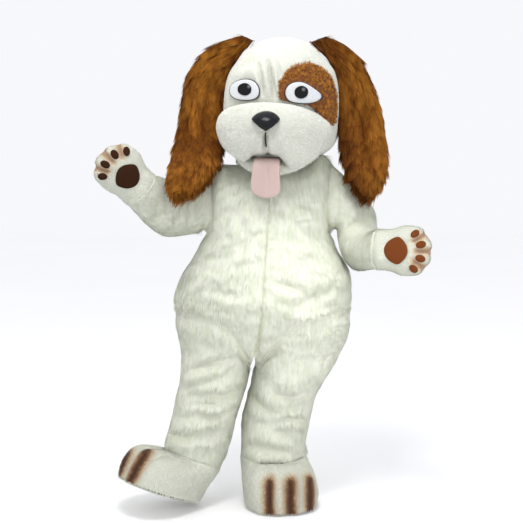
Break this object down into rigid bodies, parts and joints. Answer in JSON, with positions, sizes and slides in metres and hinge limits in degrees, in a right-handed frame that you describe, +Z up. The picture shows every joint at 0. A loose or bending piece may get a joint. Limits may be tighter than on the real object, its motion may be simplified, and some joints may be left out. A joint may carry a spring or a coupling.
{
  "type": "dog mascot costume",
  "caption": "Full-body dog mascot costume, worn open and empty in a waving, stepping pose: fur suit, mitts, big paw shoes, and a foam head with long hanging ears and tongue.",
  "frame": {"origin": "middle of the suit's neck opening, where the costume hangs from the wearer's shoulders and neck", "axes": "+Z up; the face and belly look towards -Y; +X is to the right as seen from the front"},
  "size_m": [1.2876, 0.5711, 1.88],
  "materials": {
    "cream_fur": "long-pile cream fur cloth",
    "cream_plush": "short cream plush",
    "shoe_plush": "short cream plush with brown airbrushed toe lines",
    "sole_cloth": "hard-wearing sole cloth",
    "face_fur": "short white-cream fur on foam",
    "brown_felt": "dark brown felt",
    "nose_vinyl": "glossy black",
    "ear_fur": "long combed golden-brown fur",
    "patch_fur": "short curly red-brown fur",
    "eye_black": "black mesh",
    "eye_white": "white see-through mesh",
    "tongue_felt": "pink felt"
  },
  "bodies": {
    "root": {"suit_front_left": "cream_fur", "leg_front_left": "cream_fur", "suit_back_left": "cream_fur", "leg_back_left": "cream_fur", "sleeve_left": "cream_fur", "mitt_palm_left": "cream_plush", "mitt_back_left": "cream_plush", "pad_palm_left": "brown_felt", "pad_finger_1_left": "brown_felt", "pad_finger_2_left": "brown_felt", "pad_finger_3_left": "brown_felt", "pad_finger_4_left": "brown_felt", "shoe_left": "shoe_plush", "sole_left": "sole_cloth", "eye_backing_left": "eye_black", "eye_white_left": "eye_white", "pupil_left": "eye_black", "ear_left": "ear_fur", "suit_front_right": "cream_fur", "leg_front_right": "cream_fur", "suit_back_right": "cream_fur", "leg_back_right": "cream_fur", "sleeve_right": "cream_fur", "mitt_palm_right": "cream_plush", "mitt_back_right": "cream_plush", "pad_palm_right": "brown_felt", "pad_finger_1_right": "brown_felt", "pad_finger_2_right": "brown_felt", "pad_finger_3_right": "brown_felt", "pad_finger_4_right": "brown_felt", "shoe_right": "shoe_plush", "sole_right": "sole_cloth", "eye_backing_right": "eye_black", "eye_white_right": "eye_white", "pupil_right": "eye_black", "ear_right": "ear_fur", "head_front": "face_fur", "head_back": "face_fur", "muzzle": "face_fur", "jaw": "face_fur", "nose": "nose_vinyl", "philtrum": "nose_vinyl", "tongue": "tongue_felt", "eye_patch": "patch_fur"}
  },
  "joints": []
}
